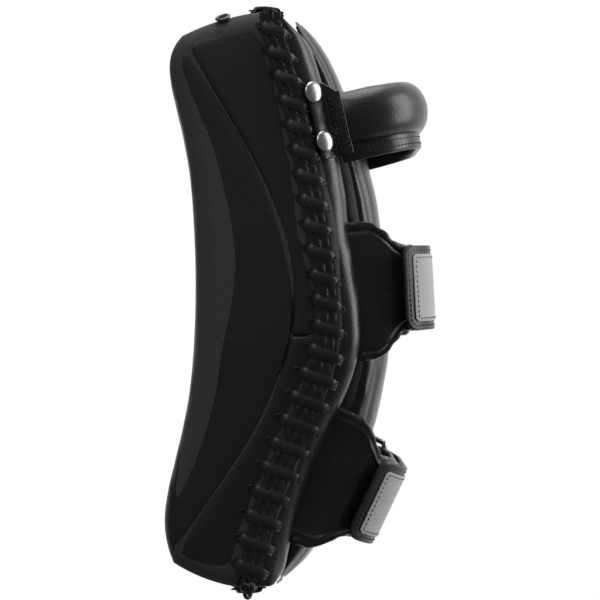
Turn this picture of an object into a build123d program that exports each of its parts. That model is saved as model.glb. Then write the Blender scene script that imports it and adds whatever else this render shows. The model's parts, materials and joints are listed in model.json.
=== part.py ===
# Thai kicking pad, standing on its end as it is worn on a forearm.
# +Z runs up the pad, the strike face looks along -X and the forearm lies against the back, on the +X side.
# The origin is on the forearm cushion, on the middle plane, halfway up the pad.
from build123d import *
from math import asin, atan2, cos, degrees, radians, sin
import os

os.makedirs("parts", exist_ok=True)

# ---------------------------------------------------------------- driving dimensions, mm
pad_length = 400.0  # between the lacing rolls on the two ends
pad_width = 194.0  # across the leather, without the lacing
leather = 2.0
gap = 0.3  # free space between neighbouring layers

# front block, from the strike face to the laced seam
face_mid_x = -130.7  # deepest point of the hollow strike face
face_top_x = -149.5
face_bottom_x = -151.5
top_corner_x = -141.0
bottom_corner_x = -147.0
cheek_x = -64.0  # rearmost point of the curved seam on each side
end_crown = 0.96  # share of the half length that the middle of each end reaches
edge_radius = 14.0  # rounding of the face and the ends into the sides
impact_foam_depth = 26.0  # firm layer behind the strike face
gusset_joint_share = -0.12  # height of the seam that joins the two gusset pieces

# laced seam, bent like a boomerang
seam_top_x = -82.0
seam_waist_x = -54.5
seam_bend_x = -41.0
seam_bottom_x = -94.0
board_thickness = 4.0

# rear section behind the seam
flank_depth = 22.0  # from the seam to the crease around the forearm cushion
flank_radius = 20.0  # rounding of the rear section's long edges
cushion_clearance = 1.5  # between the cushion and each arm of the handle
cushion_foam_share = 0.93  # of the half length that the cushion's foam reaches

# whip-stitched lace
lace_width = 7.0
lace_thickness = 1.8
lace_pitch = 16.6
lace_span = 19.0  # across the seam, from the front holes to the rear holes
lace_slant = 22.0  # degrees that a stitch drops towards the back
knot_radius = 4.0
knot_rise = 5.0  # from the seam's bottom end to the knot's middle
knot_tail = 10.0

# vent eyelets in the top end
eyelet_radius = 5.5
eyelet_hole_radius = 3.0
eyelet_barrel_radius = 3.8
eyelet_thickness = 1.2
eyelet_lean = 27.0  # degrees round the edge between the top end and each side

# padded handle, measured out from the crease at the height of its tab
handle_z = 124.6
handle_reach = 58.5  # to the roll's middle line
handle_inset = 18.0  # from each side of the pad to the middle line of the handle's arm
handle_thickness = 25.0
handle_height = 38.0
handle_drop = 5.0  # of the roll's middle line below the rivets' middle
handle_corner = 44.0
handle_start = 9.0  # where the padding begins
flange_height = 10.0
flange_thickness = 4.0
tab_height = 52.0
tab_drop = 3.0
tab_leather = 3.0
tab_start_angle = 24.0  # degrees round the flank's rounded edge
tab_flat = 9.4  # straight part under the rivet caps
tab_overlap = 7.0  # how far the tab runs along the padded arm

# rivets
rivet_angle = 36.0  # degrees round the flank, where the tab also leaves its rounded edge
rivet_spacing = 33.7
rivet_cap_radius = 7.4
rivet_cap_height = 3.2
rivet_post_radius = 2.2
rivet_washer_radius = 6.0
rivet_washer_thickness = 1.0
rivet_depth = 10.0  # from the tab's outside to the washer's far side
clearance = 0.3  # around a post, a barrel or a ring's bar

# forearm straps: two padded cuffs joined by a strap, as a loop with rounded shoulders
upper_strap_z = 7.0
lower_strap_z = -129.0
strap_top = 23.5  # from the cushion to the outside of a cuff's leather
strap_shoulder = 34.0
cuff_base_width = 97.0
cuff_top_width = 60.0
cuff_taper_start = -10.0  # heights over the cushion between which a cuff narrows
cuff_taper_end = 17.0
cuff_foam = 4.5
cuff_lining = 1.5
cuff_foot = 34.0  # depth under the cushion's surface to which a cuff may reach
cuff_clearance = 4.0  # between the cuffs and the cushion
near_cuff_reach = 30.0  # from the middle plane to the near cuff's inner edge
far_cuff_angle = 8.0  # how far round its shoulder the far cuff comes
strap_width = 58.0
strap_leather = 2.4

# rectangular rings, hook and loop closure, all placed by degrees round a shoulder
ring_wire = 4.4
ring_angle = 52.0
ring_pitch = 15.0  # between the two long bars
ring_corner = 3.6
ring_tab_foot = -14.0  # height over the cushion where the ring's tab begins
ring_tab_leather = 1.8
inner_strap_angle = 50.0
flap_end_angle = 32.0
flap_corner = 8.0
hook_end_angle = 36.0
hook_reach = 8.0  # distances from the middle plane to the patches' far edges
loop_start_angle = 56.0
loop_reach = 22.0
end_patch_angle = 42.0
end_patch_reach = 22.0
end_patch_margin = 6.0
end_patch_thickness = 1.0

half_length = pad_length / 2
half_width = pad_width / 2
handle_span = pad_width - 2 * handle_inset
cushion_width = handle_span - handle_thickness - 2 * cushion_clearance
side = Plane.XZ
sides = (-1, 1)
board_half = board_thickness / 2
cuff_thickness = leather + gap + cuff_foam + gap + cuff_lining
half_span = cushion_width / 2 + cuff_clearance + cuff_thickness
shoulder_y = half_span - strap_shoulder
shoulder_u = strap_top - strap_shoulder
bar_hole = ring_wire / 2 + clearance
patch_thickness = (2 * bar_hole - 3 * gap) / 2

# layers of the closure, as distances outside the cuffs' leather
strap_inner = gap
strap_outer = strap_inner + strap_leather
bar_line = strap_outer + bar_hole
flap_inner = bar_line + bar_hole
flap_outer = flap_inner + strap_leather


# ---------------------------------------------------------------- side outlines, drawn in the XZ plane
def up(share, inset=0.0):
    """Height of a share of the half length, on a layer set in from the outside."""
    return share * (half_length - inset)


def strike_line(shift=0.0, inset=0.0):
    """Hollow strike face, from its bottom corner to its top corner."""
    return Spline(
        (bottom_corner_x + shift, up(-0.90, inset)),
        (face_bottom_x + shift, up(-0.75, inset)),
        (face_bottom_x + 4.5 + shift, up(-0.61, inset)),
        (face_mid_x - 4.5 + shift, up(-0.33, inset)),
        (face_mid_x + shift, up(0.05, inset)),
        (face_mid_x - 3.5 + shift, up(0.40, inset)),
        (face_top_x + 3.5 + shift, up(0.70, inset)),
        (face_top_x + shift, up(0.815, inset)),
        (top_corner_x + shift, up(0.905, inset)),
    )


def seam_line(shift=0.0, inset=0.0):
    """Laced seam, from its top end over the bend to its bottom end."""
    return Spline(
        (seam_top_x + shift, up(0.9875, inset)),
        (seam_waist_x + shift, up(0.45, inset)),
        (seam_bend_x - 2.5 + shift, up(0.08, inset)),
        (seam_bend_x + shift, up(-0.14, inset)),
        (seam_bend_x - 10.0 + shift, up(-0.31, inset)),
        (seam_bend_x - 29.0 + shift, up(-0.545, inset)),
        (seam_bottom_x + shift, up(-0.9875, inset)),
    )


def cheek_line(shift=0.0):
    """Curved seam on the pad's side, from the top corner of the strike face to the bottom corner."""
    return Spline(
        (top_corner_x + shift, up(0.905)),
        (cheek_x - 54.5 + shift, up(0.71)),
        (cheek_x - 26.0 + shift, up(0.465)),
        (cheek_x - 6.0 + shift, up(0.205)),
        (cheek_x + shift, up(-0.07)),
        (cheek_x - 9.0 + shift, up(-0.26)),
        (cheek_x - 26.0 + shift, up(-0.45)),
        (cheek_x - 53.0 + shift, up(-0.655)),
        (bottom_corner_x + shift, up(-0.90)),
    )


def front_outline(inset):
    """Side outline of the front block, set in by the thickness of its skin."""
    with BuildSketch(side) as outline:
        with BuildLine():
            strike = strike_line(inset, inset)
            seam = seam_line(-inset, inset)
            top_x = ((strike @ 1).X + (seam @ 0).X) / 2
            bottom_x = ((strike @ 0).X + (seam @ 1).X) / 2
            ThreePointArc(strike @ 1, (top_x, up(end_crown, inset)), seam @ 0)
            ThreePointArc(strike @ 0, (bottom_x, -up(end_crown, inset)), seam @ 1)
        make_face()
    return outline.sketch


def band_along_seam(start, end, inset=0.0):
    """Side outline of a layer that follows the seam, from one shift to another."""
    with BuildSketch(side) as outline:
        with BuildLine():
            first = seam_line(start, inset)
            last = seam_line(end, inset)
            Line(first @ 0, last @ 0)
            Line(first @ 1, last @ 1)
        make_face()
    return outline.sketch


def area_in_front(line, shift):
    """Everything between a line in the side view and a plane well ahead of the strike face."""
    far = face_bottom_x - 60
    with BuildSketch(side) as outline:
        with BuildLine():
            edge = line(shift)
            first = edge @ 0
            last = edge @ 1
            Polyline(first, (far, first.Y), (far, last.Y), last)
        make_face()
    return outline.sketch


def cushion_outline(inset):
    """Side outline of the forearm cushion, from the crease to the surface under the forearm."""
    with BuildSketch(side) as outline:
        with BuildLine():
            base = seam_line(flank_depth + gap + inset, inset)
            surface = flank_depth - inset
            Spline(
                base @ 0,
                (surface - 67.0, up(0.905, inset)),
                (surface - 55.0, up(0.78, inset)),
                (surface - 36.0, up(0.48, inset)),
                (surface - 22.0, 0.0),
                (surface - 30.0, up(-0.42, inset)),
                (surface - 51.0, up(-0.67, inset)),
                (surface - 76.0, up(-0.90, inset)),
                base @ 1,
            )
        make_face()
    return outline.sketch


# ---------------------------------------------------------------- solids that the skins and foams are cut from
def front_block(inset):
    """Front block as one solid, with its face and ends rounded into its sides."""
    with BuildPart() as block:
        extrude(front_outline(inset), amount=half_width - inset, both=True)
        groups = block.edges().filter_by(Axis.Y, reverse=True).group_by(Axis.Y)
        outer = [e for group in (groups[0], groups[-1]) for e in group if e.center().X < seam_top_x]
        fillet(outer, edge_radius - inset)
    return block.part


def flank_block(start, inset):
    """Rear section as one solid, from a shift behind the seam to the crease."""
    ahead = start - flank_radius
    with BuildPart() as block:
        extrude(band_along_seam(ahead, flank_depth - inset, inset), amount=half_width - inset, both=True)
        groups = block.edges().filter_by(GeomType.BSPLINE).group_by(Axis.Y)
        fillet([group.sort_by(Axis.X)[-1] for group in (groups[0], groups[-1])], flank_radius - inset)
        front_part = band_along_seam(ahead - leather, start, inset - 2 * leather)
        extrude(front_part, amount=pad_width, both=True, mode=Mode.SUBTRACT)
    return block.part


def write(part, name):
    """Labels a finished piece and writes its file."""
    part.part.label = name
    export_step(part.part, f"parts/{name}.step")


def height_on(line, z):
    """Position along a line in the side view, from 0 to 1, where it passes a height."""
    low, high = 0.0, 1.0
    rising = (line @ 1).Z > (line @ 0).Z
    for _ in range(40):
        middle = (low + high) / 2
        if ((line @ middle).Z < z) == rising:
            low = middle
        else:
            high = middle
    return low


def frame_on(line, z):
    """Plane across the pad at a height of a line: its x runs out from the pad and its normal runs up the line."""
    place = height_on(line, z)
    along = line % place
    if along.Z < 0:
        along = -along
    outward = Vector(along.Z, 0, -along.X)
    return Plane(origin=line @ place, x_dir=outward, z_dir=along)


with BuildLine(side) as seam_curve:
    seam_line()
with BuildLine(side) as crease_curve:
    seam_line(flank_depth)
seam_path = seam_curve.edges()[0]
surface_path = cushion_outline(0.0).edges().sort_by(Axis.X)[-1]
handle_plane = frame_on(crease_curve.edges()[0], handle_z)
upper_plane = frame_on(surface_path, upper_strap_z)
lower_plane = frame_on(surface_path, lower_strap_z)


def beside(plane):
    """Plane that looks at a frame from the pad's near side: its x runs out and its y runs up."""
    return Plane(origin=plane.origin, x_dir=plane.x_dir, z_dir=(0, -1, 0))


# ---------------------------------------------------------------- places of the eyelets and rivets
with BuildLine(side) as strike_curve:
    strike_line()
corner = strike_curve.edges()[0] @ 1
seam_end = seam_path @ 0
chord = (seam_end - corner).normalized()
end_normal = Vector(-chord.Z, 0, chord.X)
crown = Vector((corner.X + seam_end.X) / 2, 0, up(end_crown)) - end_normal * edge_radius

eyelet_planes = []
for s in sides:
    lean = radians(eyelet_lean)
    direction = end_normal * cos(lean) + Vector(0, s, 0) * sin(lean)
    centre = crown + Vector(0, s * (half_width - edge_radius), 0)
    eyelet_planes.append(Plane(origin=centre + direction * edge_radius, z_dir=direction))

rivet_planes = []
for s in sides:
    for height in (-rivet_spacing / 2, rivet_spacing / 2):
        turn = radians(rivet_angle)
        direction = handle_plane.x_dir * sin(turn) + Vector(0, s, 0) * cos(turn)
        centre = handle_plane.origin - handle_plane.x_dir * flank_radius + handle_plane.z_dir * height
        centre += Vector(0, s * (half_width - flank_radius), 0)
        rivet_planes.append(Plane(origin=centre + direction * (flank_radius + gap + tab_leather), z_dir=direction))


# ---------------------------------------------------------------- front block
outer_front = front_block(0.0)
inner_front = front_block(leather)
foam_front = front_block(leather + gap)

with BuildPart() as strike_cover:
    extrude(area_in_front(cheek_line, -gap / 2), amount=pad_width, both=True)
    add(outer_front, mode=Mode.INTERSECT)
    add(inner_front, mode=Mode.SUBTRACT)
write(strike_cover, "strike_cover")

with BuildPart() as gusset_skin:
    add(outer_front)
    add(inner_front, mode=Mode.SUBTRACT)
    extrude(area_in_front(cheek_line, gap / 2), amount=pad_width, both=True, mode=Mode.SUBTRACT)
    seam_opening = band_along_seam(-board_half - gap - leather, leather, leather)
    extrude(seam_opening, amount=half_width - leather, both=True, mode=Mode.SUBTRACT)
    with Locations(*eyelet_planes):
        Cylinder(eyelet_barrel_radius + clearance, 6 * leather, mode=Mode.SUBTRACT)

joint_z = up(gusset_joint_share)
for name, keep, cut_z in (
    ("upper_gusset", Keep.TOP, joint_z + gap / 2),
    ("lower_gusset", Keep.BOTTOM, joint_z - gap / 2),
):
    with BuildPart() as gusset:
        add(gusset_skin.part)
        split(bisect_by=Plane.XY.offset(cut_z), keep=keep)
    write(gusset, name)

with BuildPart() as impact_foam:
    extrude(area_in_front(strike_line, leather + gap + impact_foam_depth), amount=pad_width, both=True)
    add(foam_front, mode=Mode.INTERSECT)
write(impact_foam, "impact_foam")

with BuildPart() as core_foam:
    add(foam_front)
    impact_area = area_in_front(strike_line, leather + 2 * gap + impact_foam_depth)
    extrude(impact_area, amount=pad_width, both=True, mode=Mode.SUBTRACT)
    board_room = band_along_seam(-board_half - gap, leather, -leather)
    extrude(board_room, amount=pad_width, both=True, mode=Mode.SUBTRACT)
write(core_foam, "core_foam")

with BuildPart() as vent_eyelets:
    for plane in eyelet_planes:
        with BuildSketch(plane.offset(gap)):
            Circle(eyelet_radius)
            Circle(eyelet_hole_radius, mode=Mode.SUBTRACT)
        extrude(amount=eyelet_thickness)
        with BuildSketch(plane.offset(gap)):
            Circle(eyelet_barrel_radius)
            Circle(eyelet_hole_radius, mode=Mode.SUBTRACT)
        extrude(amount=-gap - leather)
write(vent_eyelets, "vent_eyelets")

# ---------------------------------------------------------------- board and rear section
with BuildPart() as backing_board:
    board_outline = band_along_seam(-board_half, board_half, leather + gap)
    extrude(board_outline, amount=half_width - leather - gap, both=True)
write(backing_board, "backing_board")

with BuildPart() as rear_cover:
    add(flank_block(gap / 2, 0.0))
    add(flank_block(-2 * leather, leather), mode=Mode.SUBTRACT)
    with Locations(*rivet_planes):
        Cylinder(rivet_post_radius + clearance, 4 * rivet_depth, mode=Mode.SUBTRACT)
write(rear_cover, "rear_cover")

with BuildPart() as rear_foam:
    add(flank_block(board_half + gap, leather + gap))
    pocket_depth = rivet_depth + clearance
    with Locations(*(plane.offset(-pocket_depth / 2) for plane in rivet_planes)):
        Cylinder(rivet_washer_radius + clearance, pocket_depth, mode=Mode.SUBTRACT)
write(rear_foam, "rear_foam")

with BuildPart() as cushion_cover:
    extrude(cushion_outline(0.0), amount=cushion_width / 2, both=True)
    extrude(cushion_outline(leather), amount=cushion_width / 2 - leather, both=True, mode=Mode.SUBTRACT)
    base_opening = band_along_seam(flank_depth, flank_depth + gap + 2 * leather, 6 * leather)
    extrude(base_opening, amount=cushion_width / 2 - leather, both=True, mode=Mode.SUBTRACT)
write(cushion_cover, "forearm_cushion_cover")

with BuildPart() as cushion_foam:
    extrude(cushion_outline(leather + gap), amount=cushion_width / 2 - leather - gap, both=True)
    Box(pad_length, pad_width, 2 * up(cushion_foam_share), mode=Mode.INTERSECT)
write(cushion_foam, "forearm_cushion_foam")

# ---------------------------------------------------------------- lacing
stitch_count = int((seam_path.length - lace_pitch) / lace_pitch)
for name, s in (("near_lacing", -1), ("far_lacing", 1)):
    with BuildPart() as lacing:
        for i in range(stitch_count):
            share = (i + 1) / (stitch_count + 1)
            middle = seam_path @ share + Vector(0, s * (half_width + gap + lace_thickness / 2), 0)
            along = seam_path % share
            slope = radians(lace_slant)
            length = lace_span / cos(slope - atan2(along.X, -along.Z))
            with Locations(Plane(origin=middle, x_dir=(cos(slope), 0, -sin(slope)), z_dir=(0, -1, 0))):
                Box(length, lace_thickness, lace_width, rotation=(90, 0, 0))
    write(lacing, name)

end_count = int((pad_width - 2 * edge_radius) / lace_pitch)
for name, end, outward in (("top_lacing", seam_path @ 0, 1), ("bottom_lacing", seam_path @ 1, -1)):
    with BuildPart() as lacing:
        for i in range(end_count):
            y = (i - (end_count - 1) / 2) * lace_pitch
            middle = Vector(end.X, y, end.Z + outward * (gap + lace_thickness / 2))
            turn = radians(lace_slant)
            with Locations(Plane(origin=middle, x_dir=(cos(turn), sin(turn), 0), z_dir=(0, 0, 1))):
                Box(lace_span, lace_width, lace_thickness)
    write(lacing, name)

with BuildPart() as lace_knot:
    end = seam_path @ 1
    knot_y = -half_width - gap - knot_radius
    with Locations((end.X, knot_y, end.Z + knot_rise)):
        Sphere(knot_radius)
        for turn in (-lace_slant, lace_slant):
            with Locations(Rotation(0, turn, 0)):
                Box(lace_width / 2, lace_thickness, knot_tail, align=(Align.CENTER, Align.CENTER, Align.MAX))
write(lace_knot, "lace_knot")

# ---------------------------------------------------------------- handle
roll_plane = handle_plane.offset(-handle_drop)
with BuildLine(roll_plane) as handle_path:
    FilletPolyline(
        (handle_start, -handle_span / 2),
        (handle_reach, -handle_span / 2),
        (handle_reach, handle_span / 2),
        (handle_start, handle_span / 2),
        radius=handle_corner,
    )
roll_section = Plane(
    origin=handle_path.line @ 0,
    x_dir=(0, 1, 0),
    z_dir=handle_plane.x_dir,
)


def roll(inset):
    """Oval roll of the handle, set in by the thickness of its leather."""
    with BuildPart() as solid:
        with BuildSketch(roll_section):
            Ellipse(handle_thickness / 2 - inset, handle_height / 2 - inset)
        sweep(path=handle_path.line)
    return solid.part


with BuildPart() as handle_cover:
    add(roll(0.0))
    with BuildSketch(roll_section):
        with Locations((0, -(handle_height + flange_height - leather) / 2)):
            Rectangle(flange_thickness, flange_height + leather)
    sweep(path=handle_path.line)
    add(roll(leather), mode=Mode.SUBTRACT)
write(handle_cover, "handle_cover")

with BuildPart() as handle_core:
    add(roll(leather + gap))
write(handle_core, "handle_core")


def round_point(centre, radius, angle):
    """Point at an angle round a centre in a plane across the pad, from sideways (0) to outward (90)."""
    u, y = centre
    s = 1 if y > 0 else -1
    return (u + radius * sin(radians(angle)), y + s * radius * cos(radians(angle)))


for name, s in (("near_handle_tab", -1), ("far_handle_tab", 1)):
    flank_centre = (-flank_radius, s * (half_width - flank_radius))
    inside = flank_radius + gap
    arm_side = s * (handle_span + handle_thickness) / 2 + s * gap
    with BuildPart() as tab:
        with BuildSketch(handle_plane.offset(-tab_drop)):
            with BuildLine():
                start = round_point(flank_centre, inside, tab_start_angle)
                middle = round_point(flank_centre, inside, (tab_start_angle + rivet_angle) / 2)
                leaves = round_point(flank_centre, inside, rivet_angle)
                turn = radians(rivet_angle)
                flat_end = (leaves[0] + tab_flat * cos(turn), leaves[1] - s * tab_flat * sin(turn))
                ThreePointArc(start, middle, leaves)
                Polyline(leaves, flat_end, (handle_start - gap, arm_side), (handle_start + tab_overlap, arm_side))
                offset(amount=tab_leather, side=Side.RIGHT if s < 0 else Side.LEFT, kind=Kind.INTERSECTION)
            make_face()
        extrude(amount=tab_height / 2, both=True)
        rivet_side = rivet_planes[:2] if s < 0 else rivet_planes[2:]
        with Locations(*rivet_side):
            Cylinder(rivet_post_radius + clearance, 4 * tab_leather, mode=Mode.SUBTRACT)
    write(tab, name)

with BuildPart() as rivet_caps:
    for plane in rivet_planes:
        with BuildSketch(plane.offset(gap)):
            Circle(rivet_cap_radius)
        extrude(amount=rivet_cap_height, taper=35)
write(rivet_caps, "rivet_caps")

with BuildPart() as rivet_posts:
    for plane in rivet_planes:
        with BuildSketch(plane.offset(gap)):
            Circle(rivet_post_radius)
        extrude(amount=-gap - rivet_depth)
write(rivet_posts, "rivet_posts")

with BuildPart() as rivet_washers:
    for plane in rivet_planes:
        with BuildSketch(plane.offset(-rivet_depth)):
            Circle(rivet_washer_radius)
            Circle(rivet_post_radius + clearance, mode=Mode.SUBTRACT)
        extrude(amount=rivet_washer_thickness)
write(rivet_washers, "rivet_washers")

# ---------------------------------------------------------------- forearm straps
near_shoulder = (shoulder_u, -shoulder_y)
far_shoulder = (shoulder_u, shoulder_y)
loop_depth = strap_top + pad_width
flank_room = flank_block(-2 * leather, -gap)


def loop_layer(start, end):
    """Slice of the strap's loop between two distances outside the cuffs' leather."""
    with Locations((strap_top - loop_depth / 2, 0)):
        RectangleRounded(loop_depth + 2 * end, 2 * (half_span + end), strap_shoulder + end)
        RectangleRounded(
            loop_depth + 2 * start, 2 * (half_span + start), strap_shoulder + start, mode=Mode.SUBTRACT
        )


def keep_from(angle, centre):
    """Trims a sketch to what lies further round a shoulder than an angle, and all across the middle."""
    s = 1 if centre[1] > 0 else -1
    reach = 2 * pad_width
    away = round_point(centre, reach, angle)
    behind = round_point(centre, -reach, angle)
    across_u = reach * cos(radians(angle))
    across_y = -s * reach * sin(radians(angle))
    with BuildLine() as area:
        Polyline(
            behind,
            away,
            (away[0] + across_u, away[1] + across_y),
            (behind[0] + across_u, behind[1] + across_y),
            close=True,
        )
    make_face(area.edges(), mode=Mode.INTERSECT)


def keep_side(limit):
    """Trims a sketch to one side of a line parallel to the pad's length: below a negative y, or above a positive."""
    s = 1 if limit > 0 else -1
    with Locations((0, limit + s * pad_width)):
        Rectangle(4 * pad_width, 2 * pad_width, mode=Mode.INTERSECT)


def cuff_taper(plane):
    """Side view of a cuff, wide at its foot and narrowing towards the strap."""
    half_base = cuff_base_width / 2
    half_top = cuff_top_width / 2
    with BuildSketch(beside(plane)) as outline:
        with BuildLine():
            right = [
                (-loop_depth, half_base),
                (cuff_taper_start, half_base),
                (cuff_taper_end, half_top),
                (loop_depth, half_top),
            ]
            left = [(u, -v) for u, v in reversed(right)]
            Polyline(*right, *left, close=True)
        make_face()
    return outline.sketch


def bar_point(angle):
    """Centre of a ring's bar at an angle round the far shoulder."""
    return round_point(far_shoulder, strap_shoulder + bar_line, angle)


tab_bar_angle = ring_angle - degrees(2 * asin(ring_pitch / 2 / (strap_shoulder + bar_line)))
strap_bar = bar_point(ring_angle)
tab_bar = bar_point(tab_bar_angle)

for strap, plane in (("upper", upper_plane), ("lower", lower_plane)):
    # padded cuffs: leather outside, foam, lining inside
    layers = (
        ("leather", -leather, 0.0),
        ("foam", -leather - gap - cuff_foam, -leather - gap),
        ("lining", -cuff_thickness, -cuff_thickness + cuff_lining),
    )
    for layer, start, end in layers:
        for cuff_name, s in (("near", -1), ("far", 1)):
            with BuildPart() as cuff:
                with BuildSketch(plane):
                    loop_layer(start, end)
                    if s < 0:
                        keep_side(-near_cuff_reach)
                    else:
                        with BuildLine():
                            top = round_point(far_shoulder, pad_width, far_cuff_angle)
                            Polyline(far_shoulder, top, (-loop_depth, top[1]), (-loop_depth, shoulder_y), close=True)
                        make_face(mode=Mode.INTERSECT)
                extrude(amount=cuff_base_width, both=True)
                extrude(cuff_taper(plane), amount=pad_width, both=True, mode=Mode.INTERSECT)
                add(flank_room, mode=Mode.SUBTRACT)
                split(bisect_by=Plane(origin=plane.origin - plane.x_dir * cuff_foot, z_dir=plane.x_dir))
            write(cuff, f"{strap}_{cuff_name}_cuff_{layer}")

    # strap from the near cuff to the ring
    with BuildPart() as inner_strap:
        with BuildSketch(plane):
            loop_layer(strap_inner, strap_outer)
            keep_from(inner_strap_angle, near_shoulder)
            keep_from(ring_angle, far_shoulder)
            with Locations(strap_bar):
                Circle(bar_hole + strap_leather + gap, mode=Mode.SUBTRACT)
        extrude(amount=strap_width / 2, both=True)
    write(inner_strap, f"{strap}_inner_strap")

    with BuildPart() as loop_patch:
        with BuildSketch(plane):
            loop_layer(strap_outer + gap, strap_outer + gap + patch_thickness)
            keep_from(loop_start_angle, near_shoulder)
            keep_side(-loop_reach)
        extrude(amount=strap_width / 2 - gap, both=True)
    write(loop_patch, f"{strap}_loop_patch")

    # ring and the leather tab that holds its outer bar
    with BuildPart() as ring_tab:
        with BuildSketch(plane):
            loop_layer(gap, gap + 2 * ring_tab_leather)
            with BuildLine():
                top = round_point(far_shoulder, pad_width, tab_bar_angle)
                Polyline(far_shoulder, top, (ring_tab_foot, top[1]), (ring_tab_foot, shoulder_y), close=True)
            make_face(mode=Mode.INTERSECT)
            with Locations(tab_bar):
                Circle(bar_hole + ring_tab_leather)
                Circle(bar_hole, mode=Mode.SUBTRACT)
        extrude(amount=strap_width / 2 - gap, both=True)
    write(ring_tab, f"{strap}_ring_tab")

    with BuildPart() as ring:
        half_bar = strap_width / 2 + ring_corner
        lead = plane.offset(-half_bar)
        trail = plane.offset(half_bar)
        corners = [lead.from_local_coords(p) for p in (tab_bar, strap_bar)]
        corners += [trail.from_local_coords(p) for p in (strap_bar, tab_bar)]
        with BuildLine() as ring_path:
            FilletPolyline(*corners, radius=ring_corner, close=True)
        with BuildSketch(Plane(origin=ring_path.line @ 0, z_dir=ring_path.line % 0)):
            Circle(ring_wire / 2)
        sweep(path=ring_path.line)
    write(ring, f"{strap}_ring")

    # closure strap: folds round the ring's bar and lies back over the strap to the near side
    with BuildPart() as closure_strap:
        with BuildSketch(plane):
            loop_layer(flap_inner, flap_outer)
            keep_from(flap_end_angle, near_shoulder)
            keep_from(ring_angle, far_shoulder)
        with BuildSketch(plane):
            with Locations(strap_bar):
                Circle(bar_hole + strap_leather)
                Circle(bar_hole, mode=Mode.SUBTRACT)
            with BuildLine():
                inner_point = round_point(far_shoulder, 1.0, ring_angle)
                outer_point = round_point(far_shoulder, pad_width, ring_angle)
                side_point = (inner_point[0] - pad_width, inner_point[1] + pad_width)
                Polyline(inner_point, outer_point, side_point, close=True)
            make_face(mode=Mode.INTERSECT)
        extrude(amount=strap_width / 2, both=True)
        end_u = round_point(near_shoulder, strap_shoulder + flap_inner, flap_end_angle)[0]
        with BuildSketch(beside(plane)):
            Rectangle(3 * strap_width, 2 * strap_width)
            with Locations((end_u + strap_width, 0)):
                RectangleRounded(2 * strap_width, strap_width, flap_corner, mode=Mode.SUBTRACT)
            with Locations((end_u + 3 * strap_width / 2 + flap_corner, 0)):
                Rectangle(3 * strap_width, 3 * strap_width, mode=Mode.SUBTRACT)
        extrude(amount=pad_width, mode=Mode.SUBTRACT)
    write(closure_strap, f"{strap}_closure_strap")

    with BuildPart() as hook_patch:
        with BuildSketch(plane):
            loop_layer(flap_inner - gap - patch_thickness, flap_inner - gap)
            keep_from(hook_end_angle, near_shoulder)
            keep_side(-hook_reach)
        extrude(amount=strap_width / 2 - gap, both=True)
    write(hook_patch, f"{strap}_hook_patch")

    with BuildPart() as end_patch:
        with BuildSketch(plane):
            loop_layer(flap_outer + gap, flap_outer + gap + end_patch_thickness)
            keep_from(end_patch_angle, near_shoulder)
            keep_side(-end_patch_reach)
        extrude(amount=strap_width / 2 - end_patch_margin, both=True)
    write(end_patch, f"{strap}_end_patch")
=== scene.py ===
import json
from math import cos, pi, radians, sin

import bmesh
import bpy
import numpy as np
from mathutils import Matrix, Vector
from mathutils.noise import noise

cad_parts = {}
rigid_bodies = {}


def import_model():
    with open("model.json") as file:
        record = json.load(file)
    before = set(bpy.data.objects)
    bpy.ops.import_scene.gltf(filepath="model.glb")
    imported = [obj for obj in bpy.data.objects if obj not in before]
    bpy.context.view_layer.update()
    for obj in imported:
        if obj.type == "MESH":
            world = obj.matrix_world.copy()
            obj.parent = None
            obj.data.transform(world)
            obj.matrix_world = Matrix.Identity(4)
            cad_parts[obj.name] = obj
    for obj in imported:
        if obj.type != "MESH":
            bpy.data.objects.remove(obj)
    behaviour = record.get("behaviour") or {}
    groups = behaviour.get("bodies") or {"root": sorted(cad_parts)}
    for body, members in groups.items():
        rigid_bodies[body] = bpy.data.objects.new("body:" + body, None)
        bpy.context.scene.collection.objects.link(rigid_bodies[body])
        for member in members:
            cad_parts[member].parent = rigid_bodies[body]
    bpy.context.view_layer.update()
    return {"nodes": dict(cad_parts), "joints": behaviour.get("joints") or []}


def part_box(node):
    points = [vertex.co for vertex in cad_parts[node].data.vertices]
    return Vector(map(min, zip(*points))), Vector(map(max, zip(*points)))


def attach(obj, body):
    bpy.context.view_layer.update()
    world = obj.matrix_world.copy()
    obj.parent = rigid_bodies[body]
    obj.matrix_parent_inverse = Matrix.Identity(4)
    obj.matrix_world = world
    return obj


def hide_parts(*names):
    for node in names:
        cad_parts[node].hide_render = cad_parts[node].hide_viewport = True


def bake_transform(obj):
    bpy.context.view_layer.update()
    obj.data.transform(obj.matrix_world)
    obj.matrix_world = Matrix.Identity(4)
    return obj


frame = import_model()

scene = bpy.context.scene
nodes = frame["nodes"]
MM = 0.001
NEAR, FAR = -1, 1


# ------------------------------------------------------------------ finishes
class Sock:
    """A shader socket that can be added, multiplied and so on like a number."""

    def __init__(self, finish, socket):
        self.finish, self.socket = finish, socket

    def maths(self, operation, *values):
        return self.finish.node("ShaderNodeMath", {"operation": operation}, *values)

    def __add__(self, other):
        return self.maths("ADD", self, other)

    def __radd__(self, other):
        return self.maths("ADD", other, self)

    def __sub__(self, other):
        return self.maths("SUBTRACT", self, other)

    def __rsub__(self, other):
        return self.maths("SUBTRACT", other, self)

    def __mul__(self, other):
        return self.maths("MULTIPLY", self, other)

    def __rmul__(self, other):
        return self.maths("MULTIPLY", other, self)


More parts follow.
